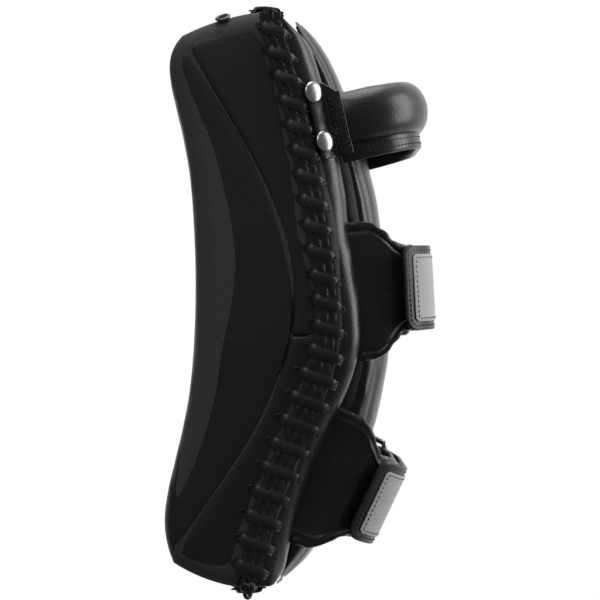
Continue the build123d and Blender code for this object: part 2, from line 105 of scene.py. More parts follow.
class Finish:
    """One material, built around a Principled shader."""

    def __init__(self, name, **constants):
        self.material = bpy.data.materials.new(name)
        self.material.use_nodes = True
        self.tree = self.material.node_tree
        self.shader = self.tree.nodes["Principled BSDF"]
        for socket, value in constants.items():
            self.shader.inputs[socket.replace("_", " ")].default_value = value

    def node(self, kind, settings=None, *values, out=0, **named):
        """Adds a node: its settings first, then its inputs in order or by name, as numbers or links."""
        made = self.tree.nodes.new(kind)
        for key, value in (settings or {}).items():
            setattr(made, key, value)
        pairs = list(enumerate(values)) + [(k.replace("_", " "), v) for k, v in named.items()]
        for key, value in pairs:
            if isinstance(value, Sock):
                self.tree.links.new(value.socket, made.inputs[key])
            elif value is not None:
                made.inputs[key].default_value = value
        return Sock(self, made.outputs[out])

    def feed(self, **links):
        """Links worked-out values to the shader's own sockets."""
        for key, value in links.items():
            self.tree.links.new(value.socket, self.shader.inputs[key.replace("_", " ")])

    def place(self):
        return self.node("ShaderNodeTexCoord", out=3)

    def cloud(self, scale, detail=4.0, roughness=0.55):
        return self.node("ShaderNodeTexNoise", None, Vector=self.place(), Scale=scale, Detail=detail,
                         Roughness=roughness)

    def cells(self, scale, feature="F1"):
        return self.node("ShaderNodeTexVoronoi", {"feature": feature}, Vector=self.place(), Scale=scale)

    def mix(self, share, dark, light):
        settings = {"data_type": "RGBA"}
        return self.node("ShaderNodeMix", settings, share, None, None, None, None, None, dark, light, out=2)

    def bumps(self, height, strength, distance):
        return self.node("ShaderNodeBump", None, Strength=strength, Distance=distance, Height=height)


class Surround(Finish):
    """The studio around the object, built on the world's own nodes."""

    def __init__(self, world):
        self.tree = world.node_tree

    def background(self, strength):
        return self.node("ShaderNodeBackground", None, Color=(1, 1, 1, 1), Strength=strength)

    def either(self, share, first, second):
        return self.node("ShaderNodeMixShader", None, share, first, second)


def leather_finish(name, dark, light, rough, gloss, wrinkle):
    """Dyed leather: pebbled grain, soft creases, worn patches that shine a little more."""
    finish = Finish(name, Specular_IOR_Level=0.34, Coat_Roughness=0.30, IOR=1.5)
    patches = finish.cloud(14.0, 3.0)
    grain = finish.cells(1150.0, "SMOOTH_F1")
    fine = finish.cloud(420.0, 3.0)
    creases = finish.cloud(46.0, 5.0, 0.6)
    finish.feed(
        Base_Color=finish.mix(patches, dark, light),
        Roughness=rough + (patches - 0.5) * 0.22 + (fine - 0.5) * 0.12,
        Coat_Weight=gloss + (patches - 0.5) * 0.3 * gloss,
        Normal=finish.bumps(grain * 0.35 + fine * 0.25 + creases * wrinkle, 0.55, 0.0006),
    )
    return finish.material


def fuzzy_finish(name, dark, light):
    """Hook-and-loop tape and raw lining: no shine, fine fibres."""
    finish = Finish(name, Sheen_Weight=0.4, Specular_IOR_Level=0.2)
    fibres = finish.cloud(900.0, 6.0, 0.7)
    finish.feed(
        Base_Color=finish.mix(fibres, dark, light),
        Roughness=0.85 + (fibres - 0.5) * 0.2,
        Normal=finish.bumps(fibres, 0.9, 0.0008),
    )
    return finish.material


def woven_finish(name, dark, light, rough, threads):
    """Plain weave: two crossed sets of threads."""
    finish = Finish(name, Specular_IOR_Level=0.12)
    settings = {"wave_type": "BANDS", "bands_direction": "Z"}
    along = finish.node("ShaderNodeTexWave", settings, Vector=finish.place(), Scale=threads,
                        Distortion=0.6, out=1)
    settings = {"wave_type": "BANDS", "bands_direction": "Y"}
    across = finish.node("ShaderNodeTexWave", settings, Vector=finish.place(), Scale=threads,
                         Distortion=0.6, out=1)
    weave = along * across
    finish.feed(
        Base_Color=finish.mix(weave * 0.6 + finish.cloud(60.0) * 0.4, dark, light),
        Roughness=rough + (weave - 0.5) * 0.15,
        Normal=finish.bumps(weave, 0.5, 0.0003),
    )
    return finish.material


def metal_finish(name, colour, rough, wear):
    """Plated or lacquered metal with faint scratches."""
    finish = Finish(name, Metallic=1.0)
    scratches = finish.cloud(260.0, 5.0, 0.7)
    smudges = finish.cloud(70.0, 3.0)
    dull = tuple(c * wear for c in colour[:3]) + (1.0,)
    finish.feed(
        Base_Color=finish.mix(smudges, colour, dull),
        Roughness=rough + smudges * 0.14 + (scratches - 0.5) * 0.06,
        Normal=finish.bumps(scratches, 0.12, 0.0002),
    )
    return finish.material


def plain_finish(name, dark, light, rough, scale):
    """Foam, board and other stuff with a mottled surface."""
    finish = Finish(name, Specular_IOR_Level=0.3)
    mottle = finish.cloud(scale, 4.0)
    finish.feed(
        Base_Color=finish.mix(mottle, dark, light),
        Roughness=rough + (mottle - 0.5) * 0.2,
        Normal=finish.bumps(mottle, 0.4, 0.0005),
    )
    return finish.material


def grey(value, blue=1.03):
    return (value, value, value * blue, 1.0)


face_leather = leather_finish("face_leather", grey(0.013), grey(0.024), 0.46, 0.06, 0.5)
back_leather = leather_finish("back_leather", grey(0.008), grey(0.016), 0.30, 0.35, 1.5)
cuff_leather = leather_finish("cuff_leather", grey(0.009), grey(0.019), 0.36, 0.16, 1.9)
edge_leather = leather_finish("edge_leather", grey(0.010), grey(0.022), 0.33, 0.20, 1.2)
lace_leather = leather_finish("lace_leather", grey(0.012), grey(0.026), 0.38, 0.12, 0.9)
thread = plain_finish("waxed_thread", grey(0.014), grey(0.045), 0.42, 1400.0)
tape = fuzzy_finish("hook_and_loop_tape", grey(0.010), grey(0.05))
satin = woven_finish("satin_patch", grey(0.42), grey(0.66), 0.42, 640.0)
chrome = metal_finish("chrome_plate", grey(0.55), 0.20, 0.7)
dark_metal = metal_finish("black_lacquer_metal", grey(0.16), 0.30, 0.5)
steel = metal_finish("plain_steel", grey(0.45), 0.32, 0.8)
foam = plain_finish("closed_cell_foam", grey(0.05), grey(0.09), 0.85, 700.0)
board = plain_finish("fibre_board", grey(0.03), grey(0.06), 0.7, 300.0)
# near-black material for the discs in the vent eyelets' bores: painted shade inside the holes
painted_bore_shade = plain_finish("painted_shade_in_bore", grey(0.002), grey(0.004), 0.9, 500.0)


# ------------------------------------------------------------------ mesh helpers
def as_object(name, bm, material, sharp=40.0):
    """Closes a bmesh into an object with smooth faces and sharp creases."""
    mesh = bpy.data.meshes.new(name)
    bm.to_mesh(mesh)
    bm.free()
    mesh.polygons.foreach_set("use_smooth", [True] * len(mesh.polygons))
    mesh.set_sharp_from_angle(angle=radians(sharp))
    mesh.materials.append(material)
    made = bpy.data.objects.new(name, mesh)
    scene.collection.objects.link(made)
    return made


def belongs(made, body, slot, *replaced):
    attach(made, body)
    if replaced:
        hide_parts(*replaced)
    return made


def baked(made, *modifiers):
    """Applies modifiers, given as (type, settings), to an object's mesh."""
    for kind, settings in modifiers:
        modifier = made.modifiers.new(kind.lower(), kind)
        for key, value in settings.items():
            setattr(modifier, key, value)
    bpy.context.view_layer.update()
    solid = bpy.data.meshes.new_from_object(made.evaluated_get(bpy.context.evaluated_depsgraph_get()))
    old = made.data
    made.modifiers.clear()
    made.data = solid
    bpy.data.meshes.remove(old)
    return made


def coords(mesh):
    co = np.empty(len(mesh.vertices) * 3)
    mesh.vertices.foreach_get("co", co)
    return co.reshape(-1, 3)


def normals(mesh):
    found = np.empty(len(mesh.vertices) * 3)
    mesh.vertex_normals.foreach_get("vector", found)
    return found.reshape(-1, 3)


def set_coords(mesh, co):
    mesh.vertices.foreach_set("co", co.reshape(-1))
    mesh.update()


def joined(*names):
    """A bmesh of copies of CAD nodes, each closed at its doubled points."""
    bm = bmesh.new()
    for name in names:
        bm.from_mesh(nodes[name].data)
    bmesh.ops.remove_doubles(bm, verts=bm.verts, dist=0.01 * MM)
    return bm


def even_copy(name, sources, voxel, material, smooth=0):
    """A CAD shape with an even mesh, ready to be swelled, creased and wrinkled."""
    made = as_object(name, joined(*sources), material)
    baked(made, ("REMESH", {"mode": "VOXEL", "voxel_size": voxel, "use_smooth_shade": True}))
    if smooth:
        baked(made, ("SMOOTH", {"iterations": smooth, "factor": 0.5}))
    made.data.materials.clear()
    made.data.materials.append(material)
    return made


def evened(mesh, values, rounds):
    """Averages values with their neighbours', over and over."""
    ends = np.empty(len(mesh.edges) * 2, int)
    mesh.edges.foreach_get("vertices", ends)
    a, b = ends[0::2], ends[1::2]
    count = np.bincount(ends, minlength=len(values))[:, None]
    for _ in range(rounds):
        total = np.zeros_like(values)
        np.add.at(total, a, values[b])
        np.add.at(total, b, values[a])
        values = 0.4 * values + 0.6 * total / np.maximum(count, 1)
    return values


def swelled(pieces, pressure=4.0, steps=20):
    """Cloth under pressure: each piece starts shrunk, swells by no more than its cap, and is then evened out.

    pieces: (object, shrink, cap, rounds of evening)."""
    rest = {}
    for made, shrink, cap, _ in pieces:
        co = coords(made.data) - normals(made.data) * shrink
        set_coords(made.data, co)
        rest[made.name] = co
    for made, shrink, cap, _ in pieces:
        cloth = made.modifiers.new("cloth", "CLOTH")
        cloth.settings.use_pressure = True
        cloth.settings.uniform_pressure_force = pressure
        cloth.settings.effector_weights.gravity = 0
        cloth.settings.quality = 4
        cloth.point_cache.frame_end = steps
    for step in range(1, steps + 1):
        scene.frame_set(step)
    graph = bpy.context.evaluated_depsgraph_get()
    for made, shrink, cap, rounds in pieces:
        start = rest[made.name]
        move = coords(made.evaluated_get(graph).data) - start
        length = np.linalg.norm(move, axis=1, keepdims=True)
        move *= np.minimum(1.0, cap / np.maximum(length, 1e-9))
        made.modifiers.clear()
        move = evened(made.data, move, rounds)
        set_coords(made.data, start + move)
    scene.frame_set(1)


def wrinkled(made, amount, size, seed=0.0, where=None, stretch=(1, 1, 1)):
    """Pushes points along their normals by soft noise; where gives each point's share."""
    co, out = coords(made.data), normals(made.data)
    share = np.ones(len(co)) if where is None else where(co)
    scale = Vector(stretch) / size
    shift = Vector((seed, seed * 1.7, seed * 0.3))
    lift = np.array([
        noise(Vector(p) * scale + shift) if s > 0.01 else 0.0 for p, s in zip(co, share)
    ])
    set_coords(made.data, co + out * (lift * share * amount)[:, None])
    return made


def islands(name):
    """Points of each separate solid in a CAD node."""
    bm = joined(name)
    left = set(bm.verts)
    groups = []
    while left:
        start = left.pop()
        group, edge = [start], [start]
        while edge:
            vert = edge.pop()
            for link in vert.link_edges:
                other = link.other_vert(vert)
                if other in left:
                    left.remove(other)
                    group.append(other)
                    edge.append(other)
        groups.append(np.array([v.co for v in group]))
    bm.free()
    return groups


def axes_of(points):
    """Middle of a solid and its axes, longest first."""
    low_middle = points.mean(0)
    _, _, axes = np.linalg.svd(points - low_middle)
    ends = (points - low_middle) @ axes.T
    middle = low_middle + ((ends.max(0) + ends.min(0)) / 2) @ axes
    return Vector(middle), [Vector(a) for a in axes], ends.max(0) - ends.min(0)


def matrix_of(x, y, z, origin):
    turn = Matrix((x, y, z)).transposed().to_4x4()
    return Matrix.Translation(origin) @ turn


def scatter(name, shape, places, material):
    """One object that repeats a small shape at many places."""
    pattern = bpy.data.meshes.new(name + "_pattern")
    bm = bmesh.new()
    shape(bm)
    bm.to_mesh(pattern)
    bm.clear()
    for place in places:
        before = len(bm.verts)
        bm.from_mesh(pattern)
        bm.verts.ensure_lookup_table()
        bmesh.ops.transform(bm, matrix=place, verts=bm.verts[before:])
    bpy.data.meshes.remove(pattern)
    return as_object(name, bm, material, 60.0)


def tube_along(name, line, radius, material, sides=8, closed=False, flat=1.0, up=Vector((0, 1, 0))):
    """Extrudes a small ring along a line of points."""
    bm = bmesh.new()
    ring = bmesh.ops.create_circle(bm, segments=sides, radius=radius)["verts"]
    bmesh.ops.scale(bm, vec=(1, flat, 1), verts=ring)
    shape = [v.co.copy() for v in ring]
    first, edges = None, list(bm.edges)
    for i, point in enumerate(line):
        ahead = line[(i + 1) % len(line)] if closed or i + 1 < len(line) else point
        behind = line[i - 1] if closed or i else point
        along = (ahead - behind).normalized()
        across = up.cross(along).normalized()
        place = matrix_of(across, along.cross(across), along, point)
        if i:
            made = bmesh.ops.extrude_edge_only(bm, edges=edges)["geom"]
            ring = [g for g in made if isinstance(g, bmesh.types.BMVert)]
            edges = [g for g in made if isinstance(g, bmesh.types.BMEdge)]
        for vert, co in zip(ring, shape):
            vert.co = place @ co
        first = first or list(edges)
    if closed:
        bmesh.ops.bridge_loops(bm, edges=first + edges)
    else:
        bmesh.ops.holes_fill(bm, edges=bm.edges)
    bmesh.ops.recalc_face_normals(bm, faces=bm.faces)
    return as_object(name, bm, material, 60.0)


def thread_stitch(bm):
    """One short stitch lying along X, its two ends sunk."""
    made = bmesh.ops.create_icosphere(bm, subdivisions=1, radius=1.0)["verts"]
    bmesh.ops.scale(bm, vec=(1.35 * MM, 0.42 * MM, 0.36 * MM), verts=made)


def stitch_places(line, out, pitch=3.4 * MM):
    """Places of stitches along a line of (point, outward) pairs."""
    places, left = [], pitch / 2
    for (a, n), (b, _) in zip(line, line[1:]):
        step = b - a
        while left < step.length:
            along = step.normalized()
            across = n.cross(along).normalized()
            places.append(matrix_of(along, across, along.cross(across), a + along * left + n * out))
            left += pitch
        left -= step.length
    return places


# ------------------------------------------------------------------ lines of the pad, read from the CAD nodes
half_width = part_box("strike_cover")[1].y


def rear_edge(name, step=5 * MM):
    """Heights and x of the rearmost points of a node."""
    bins = {}
    for co in (v.co for v in nodes[name].data.vertices):
        key = round(co.z / step)
        if key not in bins or co.x > bins[key][1]:
            bins[key] = (co.z, co.x)
    line = np.array(sorted(bins.values()))
    hull = []
    for z, x in line:
        while len(hull) > 1 and (
            (hull[-1][1] - hull[-2][1]) * (z - hull[-2][0]) <= (x - hull[-2][1]) * (hull[-1][0] - hull[-2][0])
        ):
            hull.pop()
        hull.append((z, x))
    hull = np.array(hull)
    line = line[line[:, 1] > np.interp(line[:, 0], hull[:, 0], hull[:, 1]) - 2 * MM]
    return line[:, 0], line[:, 1]


lace_frames = {}
for node in ("near_lacing", "far_lacing", "top_lacing", "bottom_lacing"):
    lace_frames[node] = [axes_of(points) for points in islands(node)]
near_middles = sorted((m for m, _, _ in lace_frames["near_lacing"]), key=lambda m: m.z)
seam_z = np.array([m.z for m in near_middles])
seam_x = np.array([m.x for m in near_middles])
seam_fit = np.polyfit(seam_z, seam_x, 7)
cheek_z, cheek_x = rear_edge("strike_cover")
gusset_joint_z = (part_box("upper_gusset")[0].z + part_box("lower_gusset")[1].z) / 2


def seam_at(z):
    return np.polyval(seam_fit, np.clip(z, seam_z[0] - 16 * MM, seam_z[-1] + 16 * MM))


def cheek_at(z):
    return np.interp(z, cheek_z, cheek_x)


def strike_side(co):
    """Signed distance from the seam between the strike cover and the gusset: negative in front."""
    slope = (cheek_at(co[:, 2] + MM) - cheek_at(co[:, 2] - MM)) / (2 * MM)
    across = (co[:, 0] - cheek_at(co[:, 2])) / np.sqrt(1 + slope ** 2)
    ends = np.maximum(co[:, 2] - cheek_z[-1], cheek_z[0] - co[:, 2])
    return np.maximum(across, ends)


def strike_push(co):
    """Direction in which strike_side grows fastest."""
    step = 0.05 * MM
    base = strike_side(co)
    grow = np.stack([
        (strike_side(co + np.array(d) * step) - base) / step for d in ((1, 0, 0), (0, 1, 0), (0, 0, 1))
    ], axis=1)
    size = np.linalg.norm(grow, axis=1, keepdims=True)
    return grow / np.maximum(size, 1e-6)


def gusset_side(co):
    return co[:, 2] - gusset_joint_z


def gusset_push(co):
    return np.tile((0.0, 0.0, 1.0), (len(co), 1))


def cut_pieces(source, names, side, push, materials):
    """Cuts an even mesh in two along a curved seam: points next to it are drawn onto it first."""
    mesh = source.data
    co = coords(mesh)
    value = side(co)
    edges = np.empty(len(mesh.edges) * 2, int)
    mesh.edges.foreach_get("vertices", edges)
    edges = edges.reshape(-1, 2)
    crossing = edges[value[edges[:, 0]] * value[edges[:, 1]] < 0]
    first, second = crossing[:, 0], crossing[:, 1]
    nearer = np.where(np.abs(value[first]) < np.abs(value[second]), first, second)
    for _ in range(3):
        co[nearer] -= push(co[nearer]) * side(co[nearer])[:, None]
    set_coords(mesh, co)
    bm = bmesh.new()
    bm.from_mesh(mesh)
    bm.verts.ensure_lookup_table()
    value = side(co)
    value[nearer] = 0.0
    for face in list(bm.faces):
        around = [value[v.index] for v in face.verts]
        if min(around) < 0 < max(around):
            on_seam = [v for v, a in zip(face.verts, around) if a == 0.0]
            if len(on_seam) == 2:
                bmesh.ops.connect_vert_pair(bm, verts=on_seam)
    made = []
    for name, sign, material in zip(names, (-1, 1), materials):
        half = bm.copy()
        half.verts.ensure_lookup_table()
        away = []
        for face in half.faces:
            if sign * sum(value[v.index] for v in face.verts) < 0:
                away.append(face)
        bmesh.ops.delete(half, geom=away, context="FACES")
        made.append(as_object(name, half, material, 180.0))
    bm.free()
    bpy.data.objects.remove(source)
    return made


def creased(made, distance, depth, width):
    """Presses a groove into a piece where a distance function is near zero."""
    co = coords(made.data)
    press = depth * np.exp(-((distance(co) / width) ** 2))
    set_coords(made.data, co - normals(made.data) * press[:, None])
    return made


def open_side(made, hidden):
    """Takes away the wall of a skin that lies against its neighbour."""
    bm = bmesh.new()
    bm.from_mesh(made.data)
    gone = [f for f in bm.faces if hidden(f.calc_center_median(), f.normal)]
    bmesh.ops.delete(bm, geom=gone, context="FACES")
    bm.to_mesh(made.data)
    bm.free()
    return made


def skin(made, thickness):
    return baked(made, ("SOLIDIFY", {"thickness": thickness, "offset": -1.0, "use_rim": True}))


# ------------------------------------------------------------------ padded body of the pad
front_nodes = ("strike_cover", "upper_gusset", "lower_gusset", "impact_foam", "core_foam", "backing_board")
front = even_copy("front_block", front_nodes, 4.6 * MM, face_leather)
back_voxel = 4.2 * MM
rear_nodes = ("rear_cover", "rear_foam", "rivet_washers")
cushion_nodes = ("forearm_cushion_cover", "forearm_cushion_foam")
rear = even_copy("rear_cover_leather", rear_nodes, back_voxel, back_leather, 2)
cushion = even_copy("forearm_cushion", cushion_nodes, back_voxel, back_leather, 3)
swelled([(front, 1.6 * MM, 2.6 * MM, 60), (rear, 1.6 * MM, 3.2 * MM, 12), (cushion, 2.5 * MM, 5.5 * MM, 12)])
for made in (front, rear, cushion):
    baked(made, ("SUBSURF", {"levels": 1, "render_levels": 1}))


def lace_pull(co):
    """Dimples where the lace draws the leather in, along the laced seam."""
    pull = np.zeros(len(co))
    for middles in lace_frames.values():
        for middle, _, _ in middles:
            away = np.linalg.norm(co - np.array(middle), axis=1)
            pull = np.maximum(pull, np.exp(-((away / (7 * MM)) ** 2)))
    return pull


def near_seam(co):
    return np.exp(-(((co[:, 0] - seam_at(co[:, 2])) / (9 * MM)) ** 2))


def pulled(made, depth):
    co = coords(made.data)
    press = lace_pull(co) * depth + near_seam(co) * depth * 0.6
    set_coords(made.data, co - normals(made.data) * press[:, None])
    return made


for made in (front, rear):
    pulled(made, 1.3 * MM)
    wrinkled(made, 1.0 * MM, 11 * MM, 3.0, near_seam)
wrinkled(front, 0.7 * MM, 70 * MM, 5.0)


def flank_share(co):
    return np.clip((co[:, 0] - seam_at(co[:, 2])) / (20 * MM), 0, 1)


wrinkled(rear, 1.5 * MM, 26 * MM, 8.0, flank_share, (1.4, 1, 0.6))
wrinkled(cushion, 1.0 * MM, 34 * MM, 9.0)



def within(co, x, z, along, outward):
    """Moves what lies beyond a slanted line in the side view back on to it."""
    beyond = (co[:, 0] - x) * along + (co[:, 2] - z) * outward
    soft = 2 * MM * np.log1p(np.exp(np.clip(beyond / (2 * MM), -40, 40)))
    co[:, 0] -= along * soft
    co[:, 2] -= outward * soft
    return co


def rear_ends(co):
    """Ends of the rear section, cut back on a slant behind the cuffs and the handle."""
    co = within(co, -61 * MM, -176 * MM, 0.74, -0.67)
    return within(co, -60 * MM, 181 * MM, 0.675, 0.738)


half_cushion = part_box("forearm_cushion_cover")[1].y


def cushion_form(co):
    """Cushion with rounded long edges and with ends drawn out to meet the lacing."""
    high = np.clip((co[:, 2] - 110 * MM) / (80 * MM), 0, 1)
    low = np.clip((-120 * MM - co[:, 2]) / (70 * MM), 0, 1)
    forward = np.clip((-48 * MM - co[:, 0]) / (26 * MM), 0, 1)
    rise = np.clip((co[:, 0] - seam_at(co[:, 2]) - 20 * MM) / (16 * MM), 0, 1)
    round_off = np.clip((np.abs(co[:, 1]) - half_cushion + 42 * MM) / (42 * MM), 0, 1) ** 2.4
    co[:, 0] -= high ** 2 * 9 * MM + low ** 2 * 3 * MM + round_off * rise * 13 * MM
    co[:, 2] += high ** 2 * 7 * MM - low ** 2 * forward * 8 * MM
    return co


rear_filling = even_copy("rear_filling", ("rear_foam",), 4.6 * MM, foam)
cushion_filling = even_copy("cushion_filling", ("forearm_cushion_foam",), 4.6 * MM, foam)
for made, node, form, inwards in (
    (rear, None, rear_ends, 0.0),
    (rear_filling, "rear_foam", rear_ends, 1.4 * MM),
    (cushion, None, cushion_form, 0.0),
    (cushion_filling, "forearm_cushion_foam", cushion_form, 1.8 * MM),
):
    set_coords(made.data, form(coords(made.data) - normals(made.data) * inwards))
    if node:
        belongs(made, "root", "foam", node)

# seams of the front block
both_faces = (face_leather, face_leather)
strike, gusset = cut_pieces(front, ("strike_cover_leather", "gusset_leather"), strike_side, strike_push,
                            both_faces)
lower, upper = cut_pieces(gusset, ("lower_gusset_leather", "upper_gusset_leather"), gusset_side, gusset_push,
                          both_faces)


def against_rear(centre, normal):
    return normal.x > 0.6 and abs(centre.y) < half_width - 8 * MM


for made, replaced in ((strike, "strike_cover"), (lower, "lower_gusset"), (upper, "upper_gusset")):
    creased(made, strike_side, 1.5 * MM, 1.7 * MM)
    if made is not strike:
        creased(made, gusset_side, 1.0 * MM, 1.6 * MM)
        open_side(made, against_rear)
    skin(made, 1.4 * MM)
    belongs(made, "root", "face_leather", replaced)


def against_front(centre, normal):
    return normal.x < -0.6 and abs(centre.y) < half_width - 8 * MM


open_side(rear, against_front)
skin(rear, 1.4 * MM)
belongs(rear, "root", "back_leather", "rear_cover")

# forearm cushion: a sewn line runs round its upper edge
def cushion_line(co):
    return np.abs(np.abs(co[:, 1]) - (half_cushion - 13 * MM))


def on_cushion_top(co):
    return (np.abs(co[:, 1]) < half_cushion - 6 * MM).astype(float)


co = coords(cushion.data)
press = 0.9 * MM * np.exp(-((cushion_line(co) / (1.9 * MM)) ** 2)) * on_cushion_top(co)
set_coords(cushion.data, co - normals(cushion.data) * press[:, None])
belongs(cushion, "root", "back_leather", "forearm_cushion_cover")

for node, material in (("impact_foam", foam), ("core_foam", foam),
                       ("backing_board", board), ("rivet_posts", steel), ("rivet_washers", steel)):
    nodes[node].data.materials.clear()
    nodes[node].data.materials.append(material)


# ------------------------------------------------------------------ lacing
def lace_shape(length, width):
    """A flat lace: domed across, its two ends turned down into their holes."""
    def build(bm):
        made = bmesh.ops.create_grid(bm, x_segments=8, y_segments=4, size=0.5)["verts"]
        for vert in made:
            x, y = vert.co.x, vert.co.y
            dip = max(0.0, abs(x) - 0.36) / 0.14
            vert.co.z = 1.5 * MM * (1 - (2 * y) ** 2 * 0.6) + 1.3 * MM * (1 - (2 * x) ** 2) - 3.2 * MM * dip ** 2
            vert.co.x = x * length
            vert.co.y = y * width * (1 - 0.22 * dip) + 0.5 * MM * sin(9 * x)
        faces = list({f for v in made for f in v.link_faces})
        bmesh.ops.solidify(bm, geom=faces, thickness=1.1 * MM)
    return build


def lace_matrix(middle, axes, outward):
    """A stitch's own frame: along the lace, across it, out of the leather."""
    long = axes[0]
    if long.x < 0:
        long = -long
    wide = outward.cross(long)
    return matrix_of(long, wide, outward, middle - outward * 1.2 * MM)


hole_places = []
lace_outward = {
    "near_lacing": (0, -1, 0),
    "far_lacing": (0, 1, 0),
    "top_lacing": (0, 0, 1),
    "bottom_lacing": (0, 0, -1),
}
stitch_cut = 19 * MM  # length of a stitch whose shape is used unscaled
for node, outward in lace_outward.items():
    outward = Vector(outward)
    places = [
        lace_matrix(m, axes, outward) @ Matrix.Diagonal((size[0] / stitch_cut, 1, 1, 1))
        for m, axes, size in lace_frames[node]
    ]
    made = scatter(node + "_strips", lace_shape(21.5 * MM, 7.4 * MM), places, lace_leather)
    belongs(made, "root", "lace", node)
    for place in places:
        for end in (-10.6, 10.6):
            hole_places.append(place @ Matrix.Translation((end * MM, 0, -0.8 * MM)))


def hole_rim(bm):
    """Puckered leather round a lace hole."""
    ring = bmesh.ops.create_circle(bm, segments=6, radius=0.45 * MM)["verts"]
    bmesh.ops.rotate(bm, verts=ring, cent=(0, 0, 0), matrix=Matrix.Rotation(pi / 2, 3, "X"))
    bmesh.ops.translate(bm, verts=ring, vec=(1.8 * MM, 0, 0))
    edges = list({e for v in ring for e in v.link_edges})
    made = bmesh.ops.spin(bm, geom=ring + edges, axis=(0, 0, 1), cent=(0, 0, 0), steps=11, angle=2 * pi,
                          use_merge=True)
    bmesh.ops.recalc_face_normals(bm, faces=list({f for v in ring for f in v.link_faces}))
    return made


rims = scatter("lace_hole_rims", hole_rim, hole_places, edge_leather)
belongs(rims, "root", "lace")


def gathered_band(name, line, outward, pitch, rise):
    """Gathered leather between the laces: small ridges along the seam."""
    bm = bmesh.new()
    total = sum((b - a).length for a, b in zip(line, line[1:]))
    count = int(total / pitch) * 5
    made = bmesh.ops.create_grid(bm, x_segments=count, y_segments=30, size=0.5)["verts"]
    lengths = np.concatenate(([0], np.cumsum([(b - a).length for a, b in zip(line, line[1:])])))
    stack = np.array([list(p) for p in line])
    for vert in made:
        s, t = (vert.co.x + 0.5) * total, vert.co.y * 2
        point = Vector([np.interp(s, lengths, stack[:, k]) for k in range(3)])
        after = Vector([np.interp(min(s + MM, total), lengths, stack[:, k]) for k in range(3)])
        before = Vector([np.interp(max(s - MM, 0), lengths, stack[:, k]) for k in range(3)])
        across = outward.cross((after - before).normalized())
        drift = noise(Vector((s * 55, 0.0, 1.3))) * 0.12 + noise(Vector((s * 160, t * 2, 4.1))) * 0.05
        ridge = (0.5 + 0.5 * cos(2 * pi * (t * 1.5 + drift))) ** 1.6
        dome = max(0.0, 1 - t * t)
        lift = (rise * ridge * (0.7 + 0.3 * cos(2 * pi * s / pitch)) + 0.2) * dome ** 0.4 * MM - 0.6 * MM
        vert.co = point + across * (t * 8.0 * MM) + outward * lift
    bmesh.ops.solidify(bm, geom=bm.faces[:], thickness=0.8 * MM)
    bmesh.ops.recalc_face_normals(bm, faces=bm.faces)
    return as_object(name, bm, edge_leather, 70.0)


def side_seam(side):
    heights = np.linspace(seam_z[0] - 12 * MM, seam_z[-1] + 12 * MM, 90)
    return [Vector((seam_at(z), side * (half_width + 0.7 * MM), z)) for z in heights]


def end_seam(node, sign):
    places = [m for m, _, _ in lace_frames[node]]
    y = max(m.y for m in places) + 5 * MM
    z = places[0].z - sign * 0.6 * MM
    return [Vector((places[0].x, v, z)) for v in np.linspace(-y, y, 60)]


side_ridge, end_ridge = 1.7, 0.7  # how far the gathered leather rises, in mm
bands = (
    ("near_gathers", side_seam(NEAR), Vector((0, -1, 0))),
    ("far_gathers", side_seam(FAR), Vector((0, 1, 0))),
    ("top_gathers", end_seam("top_lacing", 1), Vector((0, 0, 1))),
    ("bottom_gathers", end_seam("bottom_lacing", -1), Vector((0, 0, -1))),
)
for name, line, outward in bands:
    made = gathered_band(name, line, outward, 8.3 * MM, side_ridge if outward.z == 0 else end_ridge)
    belongs(made, "root", "lace")


def knot_line():
    low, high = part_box("lace_knot")
    centre, reach = (low + high) / 2, 2.6 * MM
    turns = np.linspace(0, 2 * pi, 25)[:-1]
    return [
        centre + Vector((
            (sin(t) + 2 * sin(2 * t)) * reach * 0.55,
            -sin(3 * t) * reach * 0.5,
            (cos(t) - 2 * cos(2 * t)) * reach * 0.7 + 1.6 * MM,
        )) for t in turns
    ]


knot = tube_along("lace_knot_strip", knot_line(), 1.5 * MM, lace_leather, 8, True)
belongs(knot, "root", "lace", "lace_knot")


# ------------------------------------------------------------------ eyelets and rivets
def rim_ring(major, minor, height, steps=28, sides=8):
    def build(bm):
        ring = bmesh.ops.create_circle(bm, segments=sides, radius=minor)["verts"]
        bmesh.ops.scale(bm, vec=(1, height, 1), verts=ring)
        bmesh.ops.rotate(bm, verts=ring, cent=(0, 0, 0), matrix=Matrix.Rotation(pi / 2, 3, "X"))
        bmesh.ops.translate(bm, verts=ring, vec=(major, 0, 0))
        edges = list({e for v in ring for e in v.link_edges})
        bmesh.ops.spin(bm, geom=ring + edges, axis=(0, 0, 1), cent=(0, 0, 0), steps=steps, angle=2 * pi,
                       use_merge=True)
        bmesh.ops.recalc_face_normals(bm, faces=bm.faces)
    return build


def flat_disc(radius):
    def build(bm):
        bmesh.ops.create_circle(bm, cap_ends=True, segments=24, radius=radius)
    return build


eyelets, eyelet_shade_places = [], []
for points in islands("vent_eyelets"):
    middle, axes, _ = axes_of(points)
    outward = axes[2] if axes[2].z > 0 else -axes[2]
    across = Vector((1, 0, 0)).cross(outward).normalized()
    top = middle + outward * max((Vector(p) - middle).dot(outward) for p in points)
    eyelets.append(matrix_of(outward.cross(across) * -1, across, outward, top - outward * 1.3 * MM))
    eyelet_shade_places.append(eyelets[-1] @ Matrix.Translation((0, 0, 0.25 * MM)))
made = scatter("vent_eyelet_rims", rim_ring(4.2 * MM, 1.2 * MM, 0.8), eyelets, dark_metal)
belongs(made, "root", "black_metal", "vent_eyelets")
# near-black discs set into the eyelet bores: painted shade where the hole falls dark
made = scatter("vent_eyelet_bores", flat_disc(3.2 * MM), eyelet_shade_places, painted_bore_shade)
belongs(made, "root", "black_metal")

